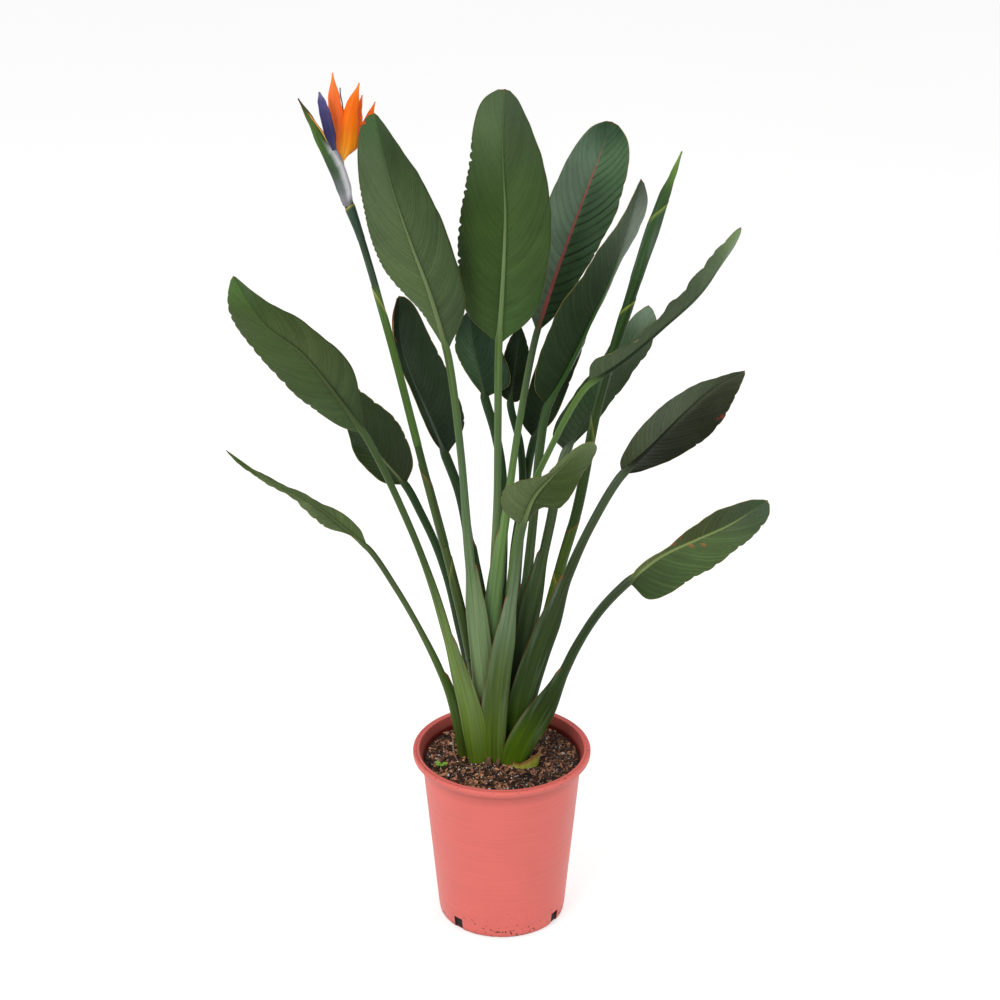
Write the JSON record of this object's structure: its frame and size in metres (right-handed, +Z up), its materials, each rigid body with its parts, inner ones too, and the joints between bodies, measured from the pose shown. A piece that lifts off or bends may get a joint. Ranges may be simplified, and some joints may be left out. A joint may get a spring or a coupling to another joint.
{
  "type": "potted bird of paradise plant",
  "caption": "Bird of paradise plant with long-stalked paddle leaves, one open orange and blue flower and one closed bud, growing in soil in a round tapered plastic pot with a rolled rim",
  "frame": {"origin": "middle of the underside of the pot, on the surface it stands on", "axes": "+Z up; +Y away from the front, the side that the open flower and the broad leaves show from; +X to the right seen from the front; millimetres in the source"},
  "size_m": [0.6659, 0.341, 1.1937],
  "materials": {
    "pot_plastic": "coral pink injection-moulded polypropylene, satin",
    "potting_soil": "dark brown bark and peat mix with white perlite, matt",
    "underside": "olive green waxy leaf, underside, satin",
    "upper_blade": "dark bluish green waxy leaf, upper side, glossy",
    "shaded_blade": "very dark green waxy leaf, satin",
    "scape": "green flower stalk with a grey bloom, satin",
    "sepal": "bright orange sepals, satin",
    "petal": "blue violet petals, satin",
    "dry_sheath": "yellow green to brown cut and dried leaf sheath, matt",
    "seedling": "light green seedling leaves, satin"
  },
  "bodies": {
    "root": {"pot": "pot_plastic", "soil": "potting_soil", "leaf_centre_tall": "underside", "leaf_left_tall": "underside", "leaf_left_broad": "underside", "leaf_left_low": "underside", "leaf_left_shaded": "shaded_blade", "leaf_back_left": "shaded_blade", "leaf_back_right": "upper_blade", "leaf_right_folded": "upper_blade", "leaf_right_shaded": "shaded_blade", "leaf_centre_shaded": "shaded_blade", "leaf_centre_small": "shaded_blade", "leaf_right_grey": "upper_blade", "leaf_right_wavy": "underside", "leaf_right_middle": "shaded_blade", "leaf_right_low": "upper_blade", "leaf_front_arching": "underside", "bloom_scape": "scape", "bloom_sepals": "sepal", "bloom_petal": "petal", "bud_scape": "scape", "cut_sheath": "dry_sheath", "dry_strip": "dry_sheath", "seedling": "seedling"}
  },
  "joints": []
}
